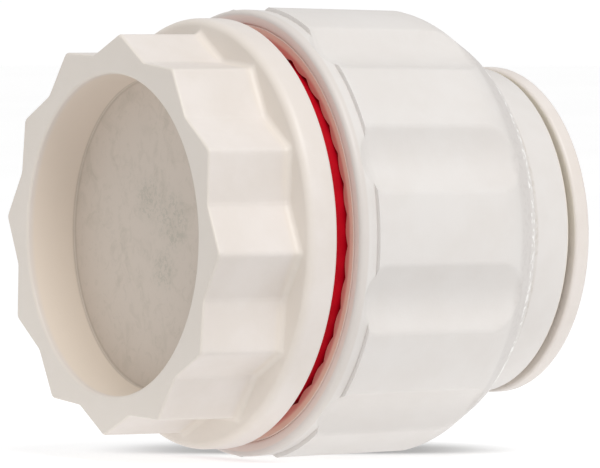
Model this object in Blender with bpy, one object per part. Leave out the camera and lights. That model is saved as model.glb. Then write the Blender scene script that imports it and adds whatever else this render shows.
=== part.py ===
"""A push-fit stop end for 28 mm pipe, as its separate pieces.

The fitting's axis is the X axis. The closed end with its cup and grip is at -X, the pipe goes in at +X,
and the origin is on the axis at half the length. Lengths are in metres.
"""

import math

import bmesh
import bpy
from mathutils import Matrix, Vector

MM = 0.001

# Clearances
GAP = 0.3 * MM  # between pieces that touch on the real fitting
RUNNING_GAP = 0.35 * MM  # between pieces that turn or slide in one another
WIDE_GAP = 0.45 * MM  # where a moulded wall has draft or serrations

# Pipe and seal
PIPE_RADIUS = 14.3 * MM
PIPE_CLEARANCE = 0.15 * MM
SEAL_THICKNESS = 3.5 * MM
SEAL_INTERFERENCE = 0.1 * MM  # how far the relaxed seal reaches inside the pipe's surface

# Grip and cup, from the closed end
GRIP_LENGTH = 11.1 * MM
GRIP_POINTS = 12
GRIP_POINT_HEIGHT = 2.15 * MM
GRIP_POINT_ROUNDING = 0.35 * MM
GRIP_WALL = 2.45 * MM  # from the cup's rim to a valley of the grip
GRIP_EDGE = 0.3 * MM
GRIP_FILLET = 0.95 * MM
GRIP_TURN = math.radians(-4.4)
CUP_DEPTH = 6.35 * MM
CUP_DRAFT = 0.4 * MM
CUP_RIM_EDGE = 0.4 * MM
FLOOR_THICKNESS = 3.2 * MM

# Flange
FLANGE_THICKNESS = 3.85 * MM
FLANGE_SETBACK = 1.0 * MM  # how far it lies inside the cap's band
FLANGE_STANDOUT = 1.8 * MM  # outside the grip's points
FLANGE_FRONT_ROUND = 0.9 * MM
FLANGE_BACK_ROUND = 0.45 * MM

# Barrel that the cap screws onto
BARREL_WALL = 2.0 * MM
BARREL_TIP = 2.05 * MM  # plain length beyond the thread
BARREL_CHAMFER = 0.5 * MM
STOP_LEDGE = 5.65 * MM  # from the pipe stop to the seal's pocket
WATERWAY_STEP = 2.1 * MM  # how far the pipe stop reaches inside the pipe's surface
THREAD_HEIGHT = 1.15 * MM
THREAD_STARTS = 2
THREAD_LEAD = 9.0 * MM
THREAD_CREST = 1.0 * MM
THREAD_FLANK = 0.3 * MM
THREAD_TURN = math.radians(300)
THREAD_RUN_OUT = 0.6 * MM  # plain length between the red ring and the thread
THREAD_ROOT_SINK = 0.4 * MM

# Red ring that shows while the cap is unlocked
RING_THICKNESS = 2.25 * MM
RING_LENGTH = 4.35 * MM
RING_EDGE = 0.3 * MM

# Twist cap
CAP_TURN = math.radians(90)  # from unlocked to locked
CAP_LOBES = 10
CAP_LOBE_TURN = math.radians(1.9)
CAP_LOBE_SHARE = 0.5  # of the pitch; the rest is a flute
CAP_LOBE_HEIGHT = 0.45 * MM  # above the band
CAP_LOBE_STEP = 0.2 * MM  # length of the step from the band up to a lobe
CAP_FLUTE_RUN = 2.0 * MM  # from the band to where a flute is at its full depth
CAP_FLUTE_DEPTH = 1.5 * MM
CAP_WALL = 2.6 * MM  # of the band, outside the serrations
CAP_BAND_WIDTH = 2.25 * MM
CAP_MOUTH_ROUND = 0.7 * MM
CAP_DRAFT = 0.0207  # loss of radius per length, towards the nose
CAP_END_WALL = 3.95 * MM  # from the inner shoulder to the end of the lobes
CAP_DOME_LENGTH = 5.9 * MM
CAP_DOME = ((0.12, 0.04), (0.4, 0.24), (0.75, 0.52), (0.95, 0.8))  # shares of its length and its drop
SERRATIONS = 40
SERRATION_DEPTH = 0.4 * MM
SERRATION_LENGTH = 1.1 * MM
NOSE_LENGTH = 7.1 * MM
NOSE_WALL = 3.25 * MM
NOSE_DRAFT = 1.25 * MM
NOSE_EDGE = 0.35 * MM

# Collet
COLLET_WALL = 1.1 * MM
COLLET_OVERHANG = 0.15 * MM  # of its flange, outside the nose
COLLET_FLANGE_THICKNESS = 2.15 * MM
COLLET_FLANGE_ROUND = 0.65 * MM
COLLET_GAP = 0.85 * MM  # between its flange and the nose
COLLET_IN = 0.55 * MM
COLLET_OUT = 0.8 * MM
COLLET_FINGERS = 12
COLLET_HEAD_HEIGHT = 1.0 * MM
COLLET_HEAD_LENGTH = 1.7 * MM
COLLET_HEAD_TAPER = 4.4 * MM
COLLET_SLIT_WIDTH = 1.2 * MM
COLLET_SLIT_LENGTH = 12.0 * MM
PIPE_LEAD_IN = 0.85 * MM
CUT_OVERSHOOT = 2.0 * MM  # how far a cutter stands out of what it cuts

# Grab teeth
TOOTH_WIDTH = 2.4 * MM
TOOTH_THICKNESS = 0.4 * MM
TOOTH_REACH = 0.45 * MM  # how far a tooth stands inside the collet's bore
TOOTH_DEPTH = 1.25 * MM  # how far it is sunk in its finger
TOOTH_LEAN = math.radians(28)
TOOTH_PLACE = 1.75 * MM  # from the fingers' tips

# Washer between the cap's shoulder and the seal
WASHER_THICKNESS = 1.9 * MM
WASHER_CLEARANCE = 0.6 * MM  # outside the pipe

# How many flat sides stand for one turn
COLUMNS = 72
CAP_COLUMNS = SERRATIONS * 3
COLLET_COLUMNS = 48
SEAL_COLUMNS = 36
THREAD_COLUMNS = 36

# Radii that follow from the pipe outwards
COLLET_BORE = PIPE_RADIUS + PIPE_CLEARANCE
SLEEVE_RADIUS = COLLET_BORE + COLLET_WALL
HEAD_RADIUS = SLEEVE_RADIUS + COLLET_HEAD_HEIGHT
CONE_RADIUS = HEAD_RADIUS + WIDE_GAP
NOSE_BORE = SLEEVE_RADIUS + RUNNING_GAP
NOSE_END_RADIUS = NOSE_BORE + NOSE_WALL
NOSE_ROOT_RADIUS = NOSE_END_RADIUS + NOSE_DRAFT
COLLET_FLANGE_RADIUS = NOSE_END_RADIUS + COLLET_OVERHANG
WATERWAY_RADIUS = PIPE_RADIUS - WATERWAY_STEP
PIPE_BORE = PIPE_RADIUS + 3 * PIPE_CLEARANCE
SEAL_INNER_RADIUS = PIPE_RADIUS - SEAL_INTERFERENCE
SEAL_POCKET_RADIUS = SEAL_INNER_RADIUS + SEAL_THICKNESS + GAP
WASHER_RADIUS = SEAL_POCKET_RADIUS - RUNNING_GAP
BARREL_RADIUS = SEAL_POCKET_RADIUS + BARREL_WALL
THREAD_BORE = BARREL_RADIUS + THREAD_HEIGHT + RUNNING_GAP
RING_INNER_RADIUS = BARREL_RADIUS + RUNNING_GAP
RING_RADIUS = RING_INNER_RADIUS + RING_THICKNESS
MOUTH_RADIUS = RING_RADIUS + WIDE_GAP
CAP_BAND_RADIUS = MOUTH_RADIUS + SERRATION_DEPTH + CAP_WALL
CAP_LOBE_RADIUS = CAP_BAND_RADIUS + CAP_LOBE_HEIGHT
FLANGE_RADIUS = CAP_BAND_RADIUS - FLANGE_SETBACK
GRIP_PEAK_RADIUS = FLANGE_RADIUS - FLANGE_STANDOUT
GRIP_VALLEY_RADIUS = GRIP_PEAK_RADIUS - GRIP_POINT_HEIGHT
CUP_RIM_RADIUS = GRIP_VALLEY_RADIUS - GRIP_WALL
CUP_FLOOR_RADIUS = CUP_RIM_RADIUS - CUP_DRAFT

# Places along the axis, from the closed end. The cap's shoulder carries the washer, which stops just
# short of the seal when the cap is locked.
CAP_TRAVEL = THREAD_LEAD * CAP_TURN / math.tau  # towards the flange
SOCKET_FLOOR = CUP_DEPTH + FLOOR_THICKNESS
FLANGE_FRONT = GRIP_LENGTH
FLANGE_BACK = FLANGE_FRONT + FLANGE_THICKNESS
RING_START = FLANGE_BACK + GAP
RING_END = RING_START + RING_LENGTH
CAP_MOUTH = FLANGE_BACK + GAP + CAP_TRAVEL
CAP_MOUTH_FLOOR = CAP_MOUTH + RING_LENGTH + GAP
THREAD_HALF_ROOT = THREAD_CREST / 2 + THREAD_FLANK
THREAD_PLACE = RING_END + THREAD_RUN_OUT + THREAD_HALF_ROOT
BARREL_END = THREAD_PLACE + THREAD_LEAD * THREAD_TURN / math.tau + THREAD_HALF_ROOT + BARREL_TIP
SEAL_FLOOR = BARREL_END - (SEAL_THICKNESS + WASHER_THICKNESS + GAP)
SEAL_PLACE = SEAL_FLOOR + GAP + SEAL_THICKNESS / 2
PIPE_STOP = SEAL_FLOOR - STOP_LEDGE
WASHER_PLACE = SEAL_FLOOR + 2 * GAP + SEAL_THICKNESS + CAP_TRAVEL
CAP_SHOULDER = WASHER_PLACE + WASHER_THICKNESS + GAP
CAP_BARREL_END = CAP_SHOULDER + CAP_END_WALL
NECK = CAP_BARREL_END + CAP_DOME_LENGTH
NOSE_END = NECK + NOSE_LENGTH
COLLET_TIPS = CAP_SHOULDER + COLLET_IN + GAP
COLLET_FLANGE_FRONT = NOSE_END + COLLET_GAP
OVERALL_LENGTH = COLLET_FLANGE_FRONT + COLLET_FLANGE_THICKNESS


def along(distance):
    """X of a place that lies this far from the closed end."""
    return distance - OVERALL_LENGTH / 2


def finish(name, red, green, blue, roughness, metallic=0.0):
    """A Principled material of one colour."""
    material = bpy.data.materials.new(name)
    material.use_nodes = True
    shader = material.node_tree.nodes["Principled BSDF"]
    shader.inputs["Base Color"].default_value = (red, green, blue, 1.0)
    shader.inputs["Roughness"].default_value = roughness
    shader.inputs["Metallic"].default_value = metallic
    return material


def linked(name, bm, material):
    """The object that a finished bmesh becomes, shaded smooth with its sharp edges kept."""
    bmesh.ops.recalc_face_normals(bm, faces=bm.faces[:])
    mesh = bpy.data.meshes.new(name)
    bm.to_mesh(mesh)
    bm.free()
    mesh.materials.append(material)
    mesh.shade_smooth()
    mesh.set_sharp_from_angle(angle=math.radians(30))
    piece = bpy.data.objects.new(name, mesh)
    bpy.context.scene.collection.objects.link(piece)
    return piece


def radius_at(radius, angle):
    """A radius given as a number, or as a function of the angle round the axis."""
    return radius(angle) if callable(radius) else radius


def turned(outline, columns, closed, turn=0.0):
    """A bmesh that runs an outline of (distance, radius) round the axis, its first column at a turn.

    A closed outline is a ring's section. An open one starts and ends in a flat disc.
    """
    bm = bmesh.new()
    bmesh.ops.create_circle(bm, segments=columns, radius=1.0)
    angles = {vert: turn + math.tau * step / columns for step, vert in enumerate(bm.verts)}
    rim = bm.edges[:]
    stations = outline + outline[:1] if closed else outline

    def place(distance, radius):
        for vert, angle in angles.items():
            reach = radius_at(radius, angle)
            vert.co = (along(distance), -reach * math.cos(angle), reach * math.sin(angle))

    def disc():
        bmesh.ops.contextual_create(bm, geom=rim)

    place(*stations[0])
    if not closed:
        disc()
    for distance, radius in stations[1:]:
        grown = bmesh.ops.extrude_edge_only(bm, edges=rim)["geom"]
        before = {tuple(vert.co): angle for vert, angle in angles.items()}
        verts = [item for item in grown if isinstance(item, bmesh.types.BMVert)]
        rim = [item for item in grown if isinstance(item, bmesh.types.BMEdge)]
        rim = [edge for edge in rim if all(vert in verts for vert in edge.verts)]
        angles = {vert: before[tuple(vert.co)] for vert in verts}
        place(distance, radius)
    if closed:
        bmesh.ops.remove_doubles(bm, verts=bm.verts[:], dist=MM / 1000)
    else:
        disc()
    return bm


def arc(middle, radius, start, end, steps):
    """Points (distance, radius) on a quarter or other arc of a section, angles in degrees."""
    angles = [math.radians(start + (end - start) * step / steps) for step in range(steps + 1)]
    return [(middle[0] + radius * math.cos(a), middle[1] + radius * math.sin(a)) for a in angles]


def grip_radius(offset):
    """The grip's pointed outline: straight from each valley to a slightly blunted peak."""

    def radius(angle):
        pitch = math.tau / GRIP_POINTS
        share = abs(((angle - GRIP_TURN) / pitch + 0.5) % 1 - 0.5) * pitch
        peak = Vector((GRIP_PEAK_RADIUS, 0.0))
        valley = Vector((math.cos(pitch / 2), math.sin(pitch / 2))) * GRIP_VALLEY_RADIUS
        side = valley - peak
        ray = Vector((math.cos(share), math.sin(share)))
        reach = (peak.x * side.y - peak.y * side.x) / (ray.x * side.y - ray.y * side.x)
        return min(reach, GRIP_PEAK_RADIUS - GRIP_POINT_ROUNDING) + offset

    return radius


def lobe_radius(crest, flute_depth):
    """The cap's outline: round lobes at the crest radius, and hollow flutes between them."""

    def radius(angle):
        pitch = math.tau / CAP_LOBES
        share = abs(((angle - CAP_LOBE_TURN) / pitch + 0.5) % 1 - 0.5) * 2
        if share <= CAP_LOBE_SHARE:
            return crest
        into_flute = (share - CAP_LOBE_SHARE) / (1 - CAP_LOBE_SHARE)
        return crest - flute_depth * math.sin(math.pi / 2 * into_flute)

    return radius


def serration_radius(angle):
    """The cap's mouth: small rounded serrations that point inwards."""
    share = ((angle - CAP_LOBE_TURN) * SERRATIONS / math.tau + 0.5) % 1
    return MOUTH_RADIUS + SERRATION_DEPTH * (1 - math.sin(math.pi * share))


def thread_ridges(name, root, crest, place):
    """Helical ridges between two radii, as a helper that a Boolean joins to its piece."""
    outwards = 1 if crest > root else -1
    sunk = root - outwards * THREAD_ROOT_SINK
    half_crest = THREAD_CREST / 2
    steps = round(THREAD_COLUMNS * THREAD_TURN / math.tau)
    bm = bmesh.new()
    for _ in range(THREAD_STARTS):
        corners = ((-THREAD_HALF_ROOT, sunk), (-THREAD_HALF_ROOT, root), (-half_crest, crest))
        corners += ((half_crest, crest), (THREAD_HALF_ROOT, root), (THREAD_HALF_ROOT, sunk))
        verts = [bm.verts.new((along(place) + x, -r, 0.0)) for x, r in corners]
        section = bm.faces.new(verts)
        bmesh.ops.spin(
            bm,
            geom=[section] + list(section.edges) + verts,
            cent=(0.0, 0.0, 0.0),
            axis=(1.0, 0.0, 0.0),
            dvec=(THREAD_LEAD * THREAD_TURN / math.tau / steps, 0.0, 0.0),
            angle=THREAD_TURN,
            steps=steps,
            use_duplicate=False,
        )
        turn_round = Matrix.Rotation(math.tau / THREAD_STARTS, 3, "X")
        bmesh.ops.rotate(bm, cent=(0, 0, 0), matrix=turn_round, verts=bm.verts[:])
    bmesh.ops.holes_fill(bm, edges=[edge for edge in bm.edges if edge.is_boundary])
    return helper(linked(name, bm, bpy.data.materials["White acetal"]))


def helper(piece):
    """A cutter or other helper, which is left out of the part."""
    piece.hide_render = True
    piece.display_type = "WIRE"
    return piece


def boolean(piece, operation, other):
    """An exact Boolean that stays on its piece."""
    modifier = piece.modifiers.new(other.name, "BOOLEAN")
    modifier.operation = operation
    modifier.solver = "EXACT"
    modifier.object = other


def radial_box(bm, length, width, low, high, place, lean, angle):
    """One box that stands out from the axis, leaning along it, at an angle round it."""
    made = bmesh.ops.create_cube(bm, size=1.0)["verts"]
    bmesh.ops.scale(bm, vec=(length, high - low, width), verts=made)
    bmesh.ops.translate(bm, vec=(0.0, -(high - low) / 2, 0.0), verts=made)
    bmesh.ops.rotate(bm, cent=(0, 0, 0), matrix=Matrix.Rotation(lean, 3, "Z"), verts=made)
    bmesh.ops.translate(bm, vec=(along(place), -low, 0.0), verts=made)
    bmesh.ops.rotate(bm, cent=(0, 0, 0), matrix=Matrix.Rotation(-angle, 3, "X"), verts=made)


def end_body(white):
    """The closed body: cup and grip, flange, barrel with its thread, seal pocket and pipe socket."""
    flange_front = arc(
        (FLANGE_FRONT + FLANGE_FRONT_ROUND, FLANGE_RADIUS - FLANGE_FRONT_ROUND),
        FLANGE_FRONT_ROUND, 180, 90, 3,
    )
    flange_back = arc(
        (FLANGE_BACK - FLANGE_BACK_ROUND, FLANGE_RADIUS - FLANGE_BACK_ROUND),
        FLANGE_BACK_ROUND, 90, 0, 2,
    )
    outline = [
        (CUP_DEPTH, CUP_FLOOR_RADIUS),
        (CUP_RIM_EDGE, CUP_RIM_RADIUS),
        (0.0, CUP_RIM_RADIUS + CUP_RIM_EDGE),
        (0.0, grip_radius(-GRIP_EDGE)),
        (GRIP_EDGE, grip_radius(0.0)),
        (GRIP_LENGTH - GRIP_FILLET, grip_radius(0.0)),
        (GRIP_LENGTH - GRIP_FILLET / 3, grip_radius(GRIP_FILLET / 3)),
        (GRIP_LENGTH, grip_radius(GRIP_FILLET)),
    ]
    outline += flange_front + flange_back
    outline += [
        (FLANGE_BACK, BARREL_RADIUS),
        (BARREL_END - BARREL_CHAMFER, BARREL_RADIUS),
        (BARREL_END, BARREL_RADIUS - BARREL_CHAMFER),
        (BARREL_END, SEAL_POCKET_RADIUS),
        (SEAL_FLOOR, SEAL_POCKET_RADIUS),
        (SEAL_FLOOR, PIPE_BORE),
        (PIPE_STOP, PIPE_BORE),
        (PIPE_STOP, WATERWAY_RADIUS),
        (SOCKET_FLOOR, WATERWAY_RADIUS),
    ]
    body = linked("end_body", turned(outline, COLUMNS, closed=False, turn=GRIP_TURN), white)
    ridges = thread_ridges("body_thread", BARREL_RADIUS, BARREL_RADIUS + THREAD_HEIGHT, THREAD_PLACE)
    boolean(body, "UNION", ridges)
    return body


def indicator_ring(red):
    """The red ring on the barrel, behind the flange."""
    outline = [
        (RING_START, RING_INNER_RADIUS),
        (RING_START, RING_RADIUS),
        (RING_END - RING_EDGE, RING_RADIUS),
        (RING_END, RING_RADIUS - RING_EDGE),
        (RING_END, RING_INNER_RADIUS),
    ]
    return linked("indicator_ring", turned(outline, COLUMNS, closed=True), red)


def cap_outside():
    """The cap's outline from its mouth to its nose: band, lobes, domed shoulder, neck."""
    band_end = CAP_MOUTH + CAP_BAND_WIDTH
    barrel_end_radius = CAP_LOBE_RADIUS - CAP_DRAFT * (CAP_BARREL_END - band_end)
    drop = barrel_end_radius - NOSE_ROOT_RADIUS
    mouth = arc(
        (CAP_MOUTH + CAP_MOUTH_ROUND, CAP_BAND_RADIUS - CAP_MOUTH_ROUND),
        CAP_MOUTH_ROUND, 180, 90, 2,
    )
    outline = mouth + [
        (band_end, CAP_BAND_RADIUS),
        (band_end + CAP_LOBE_STEP, lobe_radius(CAP_LOBE_RADIUS, CAP_FLUTE_DEPTH / 2)),
        (band_end + CAP_FLUTE_RUN, lobe_radius(CAP_LOBE_RADIUS, CAP_FLUTE_DEPTH)),
        (CAP_BARREL_END, lobe_radius(barrel_end_radius, CAP_FLUTE_DEPTH)),
    ]
    for length_share, drop_share in CAP_DOME:
        crest = barrel_end_radius - drop * drop_share
        flute = CAP_FLUTE_DEPTH * (1 - drop_share)
        outline.append((CAP_BARREL_END + CAP_DOME_LENGTH * length_share, lobe_radius(crest, flute)))
    outline += [
        (NECK + NOSE_EDGE, NOSE_ROOT_RADIUS),
        (NOSE_END - NOSE_EDGE, NOSE_END_RADIUS),
        (NOSE_END, NOSE_END_RADIUS - NOSE_EDGE),
    ]
    return outline


def twist_cap(white):
    """The cap: fluted outside, serrated mouth, female thread, shoulder and locking cone."""
    cone_end = COLLET_TIPS + COLLET_HEAD_LENGTH + COLLET_HEAD_TAPER + COLLET_OUT
    outline = cap_outside() + [
        (NOSE_END, NOSE_BORE + NOSE_EDGE),
        (NOSE_END - NOSE_EDGE, NOSE_BORE),
        (cone_end, NOSE_BORE),
        (CAP_SHOULDER, CONE_RADIUS),
        (CAP_SHOULDER, THREAD_BORE),
        (CAP_MOUTH_FLOOR, THREAD_BORE),
        (CAP_MOUTH_FLOOR, MOUTH_RADIUS + SERRATION_DEPTH),
        (CAP_MOUTH + SERRATION_LENGTH, MOUTH_RADIUS + SERRATION_DEPTH),
        (CAP_MOUTH + SERRATION_LENGTH - SERRATION_DEPTH / 4, serration_radius),
        (CAP_MOUTH, serration_radius),
    ]
    cap = linked("twist_cap", turned(outline, CAP_COLUMNS, closed=True, turn=CAP_LOBE_TURN), white)
    ridges = thread_ridges(
        "cap_thread", THREAD_BORE, THREAD_BORE - THREAD_HEIGHT,
        THREAD_PLACE + THREAD_LEAD / THREAD_STARTS / 2,
    )
    boolean(cap, "UNION", ridges)
    return cap


def collet(white):
    """The collet: release flange, sleeve, and slit fingers with heads that ride in the cap's cone."""
    flange_back_radius = COLLET_FLANGE_RADIUS - COLLET_FLANGE_ROUND
    rounded = arc(
        (OVERALL_LENGTH - COLLET_FLANGE_ROUND, flange_back_radius), COLLET_FLANGE_ROUND, 90, 0, 2
    )
    head_end = COLLET_TIPS + COLLET_HEAD_LENGTH
    outline = [
        (COLLET_TIPS, COLLET_BORE),
        (COLLET_TIPS, HEAD_RADIUS),
        (head_end, HEAD_RADIUS - COLLET_HEAD_HEIGHT / 4),
        (head_end + COLLET_HEAD_TAPER, SLEEVE_RADIUS),
        (COLLET_FLANGE_FRONT, SLEEVE_RADIUS),
        (COLLET_FLANGE_FRONT, COLLET_FLANGE_RADIUS - GAP),
        (COLLET_FLANGE_FRONT + GAP, COLLET_FLANGE_RADIUS),
    ]
    outline += rounded
    outline += [
        (OVERALL_LENGTH, COLLET_BORE + PIPE_LEAD_IN),
        (OVERALL_LENGTH - PIPE_LEAD_IN, COLLET_BORE),
    ]
    piece = linked("collet", turned(outline, COLLET_COLUMNS, closed=True), white)
    cuts = bmesh.new()
    reach = COLLET_BORE - CUT_OVERSHOOT
    for finger in range(COLLET_FINGERS):
        slit = math.tau * (finger + 0.5) / COLLET_FINGERS
        radial_box(
            cuts, COLLET_SLIT_LENGTH + CUT_OVERSHOOT, COLLET_SLIT_WIDTH, reach,
            HEAD_RADIUS + CUT_OVERSHOOT, COLLET_TIPS + (COLLET_SLIT_LENGTH - CUT_OVERSHOOT) / 2, 0.0, slit,
        )
        radial_box(
            cuts, TOOTH_THICKNESS + 2 * GAP, TOOTH_WIDTH + 2 * GAP, reach,
            COLLET_BORE + TOOTH_DEPTH + GAP, tooth_place(reach), TOOTH_LEAN,
            math.tau * finger / COLLET_FINGERS,
        )
    boolean(piece, "DIFFERENCE", helper(linked("collet_cuts", cuts, white)))
    return piece


def tooth_place(radius):
    """Where along the axis a tooth's plane is, at this radius."""
    return COLLET_TIPS + TOOTH_PLACE + (radius - COLLET_BORE) * math.tan(TOOTH_LEAN)


def grab_tooth(number, steel):
    """One stainless tooth, which leans towards the pipe stop and bites the pipe."""
    bm = bmesh.new()
    low = COLLET_BORE - TOOTH_REACH
    radial_box(
        bm, TOOTH_THICKNESS, TOOTH_WIDTH, low, COLLET_BORE + TOOTH_DEPTH,
        tooth_place(low), TOOTH_LEAN, math.tau * number / COLLET_FINGERS,
    )
    return linked(f"grab_tooth_{number + 1:02d}", bm, steel)


def o_ring(rubber):
    """The seal in its pocket, relaxed."""
    half = SEAL_THICKNESS / 2
    outline = arc((SEAL_PLACE, SEAL_INNER_RADIUS + half), half, 0, 360, 10)[:-1]
    return linked("o_ring", turned(outline, SEAL_COLUMNS, closed=True), rubber)


def spacer_washer(white):
    """The washer that the cap's shoulder pushes towards the seal."""
    inner = PIPE_RADIUS + WASHER_CLEARANCE
    end = WASHER_PLACE + WASHER_THICKNESS
    outline = [(end, inner), (WASHER_PLACE, inner), (WASHER_PLACE, WASHER_RADIUS), (end, WASHER_RADIUS)]
    return linked("spacer_washer", turned(outline, COLUMNS, closed=True), white)


def main():
    for old in list(bpy.data.objects):
        bpy.data.objects.remove(old)
    white = finish("White acetal", 0.72, 0.68, 0.65, 0.4)
    collet_white = finish("White collet acetal", 0.73, 0.69, 0.65, 0.36)
    red = finish("Red indicator plastic", 0.66, 0.004, 0.018, 0.38)
    steel = finish("Stainless steel", 0.62, 0.62, 0.6, 0.3, 1.0)
    rubber = finish("Black rubber", 0.02, 0.02, 0.02, 0.6)
    body = end_body(white)
    ring = indicator_ring(red)
    seal = o_ring(rubber)
    washer = spacer_washer(white)
    cap = twist_cap(white)
    release = collet(collet_white)
    ring.parent = body
    seal.parent = body
    cap.parent = washer
    release.parent = cap
    for number in range(COLLET_FINGERS):
        grab_tooth(number, steel).parent = release


main()
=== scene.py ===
"""The looks of a push-fit stop end for 28 mm pipe: white body with a cup and a pointed grip, red ring,
fluted twist cap and release collet.

Sizes are in millimetres, from the closed end along the fitting's axis, and become metres as a piece is
made. An angle of 0 is the -Y side and 90 degrees is the top.
"""

import enum
import logging
import math
from collections.abc import Callable, Iterable, Sequence
from dataclasses import dataclass, field

import bmesh
import bpy
from mathutils import Matrix, Vector


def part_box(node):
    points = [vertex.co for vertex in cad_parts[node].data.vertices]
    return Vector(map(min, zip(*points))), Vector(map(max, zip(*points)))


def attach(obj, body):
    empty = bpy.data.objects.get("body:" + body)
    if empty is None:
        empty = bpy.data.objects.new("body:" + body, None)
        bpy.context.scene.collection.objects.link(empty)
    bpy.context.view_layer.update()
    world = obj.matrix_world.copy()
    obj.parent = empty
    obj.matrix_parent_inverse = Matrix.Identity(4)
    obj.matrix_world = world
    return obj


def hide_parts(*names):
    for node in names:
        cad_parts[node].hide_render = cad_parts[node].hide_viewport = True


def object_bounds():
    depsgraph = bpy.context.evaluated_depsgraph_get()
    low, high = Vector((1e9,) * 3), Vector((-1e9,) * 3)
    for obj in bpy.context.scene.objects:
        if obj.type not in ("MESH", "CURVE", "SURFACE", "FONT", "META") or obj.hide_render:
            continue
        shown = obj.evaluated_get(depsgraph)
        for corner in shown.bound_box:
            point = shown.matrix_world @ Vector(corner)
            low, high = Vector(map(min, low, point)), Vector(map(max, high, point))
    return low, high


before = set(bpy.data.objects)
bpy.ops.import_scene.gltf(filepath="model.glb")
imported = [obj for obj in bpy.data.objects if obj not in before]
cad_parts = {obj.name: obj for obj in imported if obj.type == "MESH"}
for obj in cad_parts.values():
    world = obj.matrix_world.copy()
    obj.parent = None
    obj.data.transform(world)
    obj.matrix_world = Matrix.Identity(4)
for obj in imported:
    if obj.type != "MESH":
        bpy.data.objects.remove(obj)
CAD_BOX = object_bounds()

MM = 0.001
LOG = logging.getLogger("stop_end")
CLOSED_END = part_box("end_body")[0][0] / MM
SHARP_ANGLE = math.radians(32)
WELD = 1e-4  # Points of a section nearer than this, in millimetres, become one.
NEAR = 1e-3  # Two sizes nearer than this, in millimetres, count as the same.
CORNER_STEPS = 6  # How many sides make one soft corner.


class Place(enum.Enum):
    """The bodies of the frame that pieces ride on."""

    BODY = "body"
    WASHER = "washer"
    CAP = "cap"
    COLLET = "collet"


def clamp(value: float, low: float = 0.0, high: float = 1.0) -> float:
    """The value, kept between two limits."""
    return max(low, min(high, value))


def smooth_least(first: float, second: float, blend: float) -> float:
    """The lesser of two values, with a soft change from one to the other.

    Args:
        first: One value.
        second: The other value.
        blend: How wide the change is.

    Returns:
        The blended lesser value.
    """
    share = clamp(0.5 + 0.5 * (second - first) / blend)
    return second + (first - second) * share - blend * share * (1 - share)


def off_centre(angle: float, count: int, turn: float) -> float:
    """How far an angle is from the nearest of some evenly spaced places.

    Args:
        angle: The angle in radians.
        count: How many places there are in a turn.
        turn: Where the first place is.

    Returns:
        The distance in radians, never negative.
    """
    pitch = math.tau / count
    return abs(((angle - turn) / pitch + 0.5) % 1 - 0.5) * pitch


@dataclass(frozen=True)
class Corner:
    """One corner of a turned section.

    Args:
        along: Distance from the closed end.
        radius: Distance from the axis.
        soft: How far the rounding of this corner reaches along its sides.
    """

    along: float
    radius: float
    soft: float = 0.0


@dataclass(frozen=True)
class Thread:
    """The coarse two-start thread that carries the cap.

    Args:
        place: Where the first ridge starts, from the closed end.
        height: How far a ridge stands out of its root.
        sign: 1 on the body, -1 in the cap.
        starts: How many ridges there are.
        lead: How far a ridge moves along the axis in a full turn.
        crest: How wide a ridge's top is.
        flank: How wide each of its sides is.
        turn: How far round each ridge goes.
        run_out: How far round each end takes to fade.
    """

    place: float
    height: float = 1.15
    sign: int = 1
    starts: int = 2
    lead: float = 9.0
    crest: float = 1.0
    flank: float = 0.3
    turn: float = math.radians(300)
    run_out: float = math.radians(14)

    def rise(self, along: float, angle: float) -> float:
        """How far the ridges stand out at one place, with run-outs at their ends.

        Args:
            along: Distance from the closed end.
            angle: Angle round the axis.

        Returns:
            The signed height of the ridge there.
        """
        best = 0.0
        for start in range(self.starts):
            wound = (-angle - math.tau * start / self.starts) % math.tau
            if wound > self.turn:
                continue
            off = abs(along - self.place - self.lead * wound / math.tau)
            side = clamp((self.crest / 2 + self.flank - off) / self.flank)
            end = clamp(min(wound, self.turn - wound) / self.run_out)
            best = max(best, side * end)
        return self.sign * self.height * best


@dataclass(frozen=True)
class Stretch:
    """A stretch of a section that is cut finely.

    Args:
        start: Where it starts, from the closed end.
        end: Where it ends.
        side: The longest side that it keeps.
    """

    start: float
    end: float
    side: float

    def holds(self, along: float) -> bool:
        """Whether a distance from the closed end is in the stretch."""
        return self.start <= along <= self.end


Shape = Callable[[float, float, float], tuple[float, float, float]]


def shorten(bm: bmesh.types.BMesh, edge: bmesh.types.BMEdge, longest: float) -> None:
    """Cuts an edge into equal sides, none of them over a length."""
    cuts = math.ceil(edge.calc_length() / longest) - 1
    if cuts > 0:
        bmesh.ops.subdivide_edges(bm, edges=[edge], cuts=cuts)


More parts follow.
